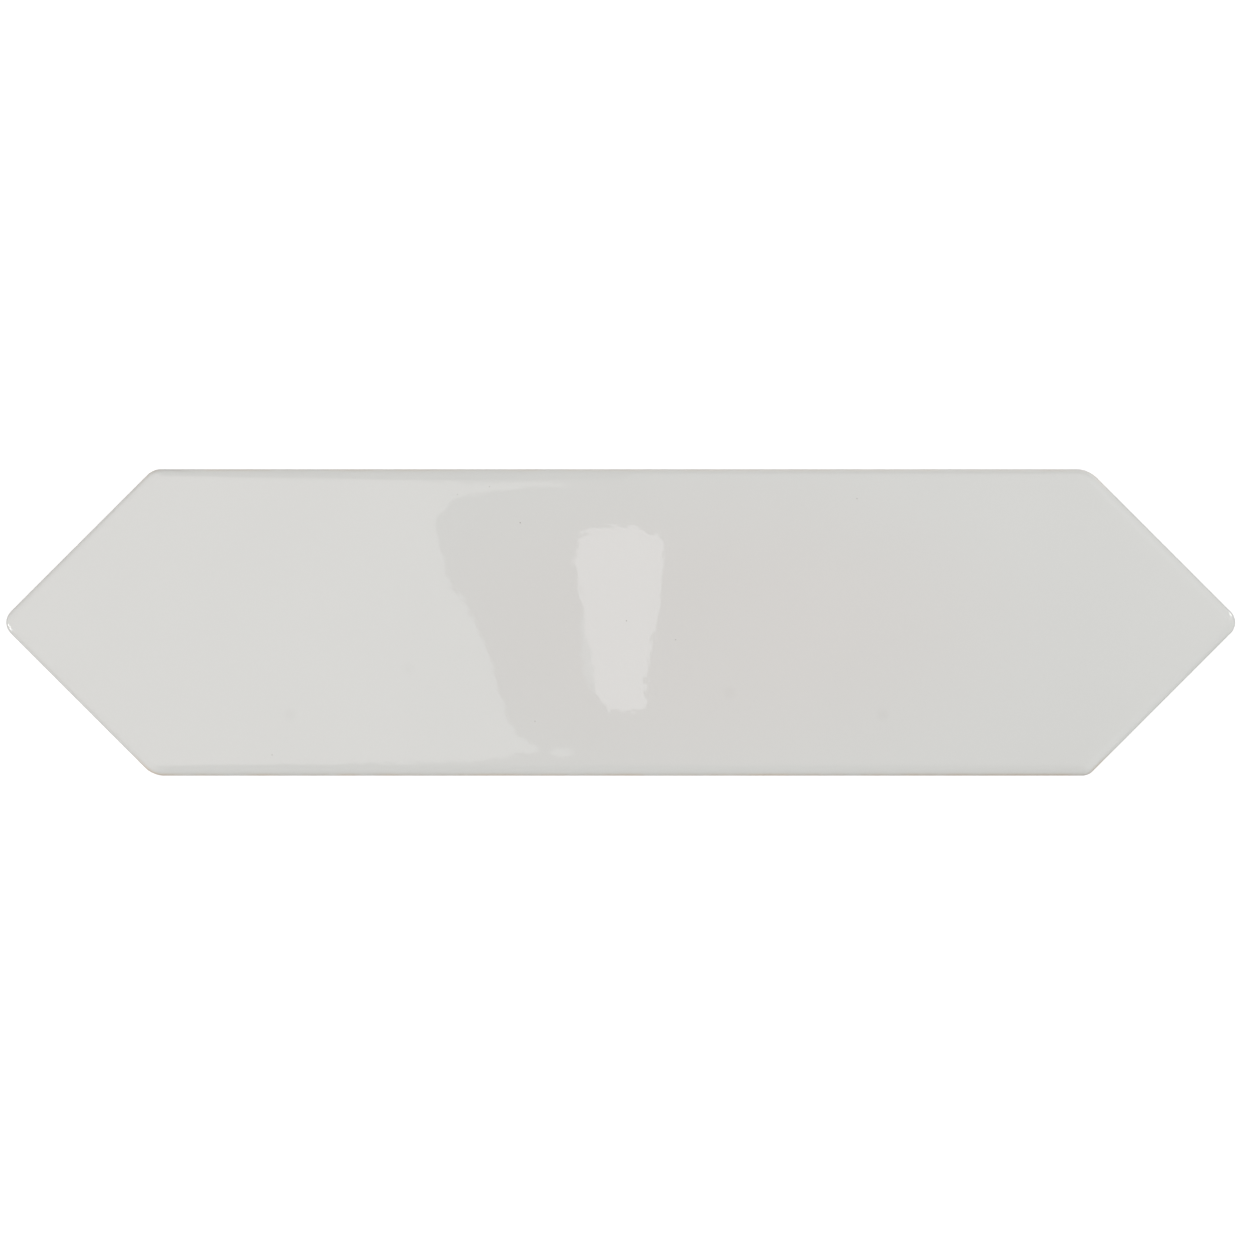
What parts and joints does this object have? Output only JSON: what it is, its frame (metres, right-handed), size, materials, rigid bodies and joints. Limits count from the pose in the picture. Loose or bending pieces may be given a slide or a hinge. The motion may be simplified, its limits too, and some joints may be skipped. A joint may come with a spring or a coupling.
{
  "type": "picket tile",
  "caption": "Long hexagonal picket wall tile with pointed ends, a flat glossy glazed face with softly rolled edges, and a keyed back.",
  "frame": {"origin": "centre of the back, in the plane of the back's lands that the tile lies on", "axes": "+X along the length to the right tip, +Y across the width, +Z through the thickness, out of the glazed face"},
  "size_m": [0.3, 0.0748, 0.0085],
  "materials": {
    "glazed_tile": "gloss"
  },
  "bodies": {
    "root": {"picket_tile": "glazed_tile"}
  },
  "joints": []
}
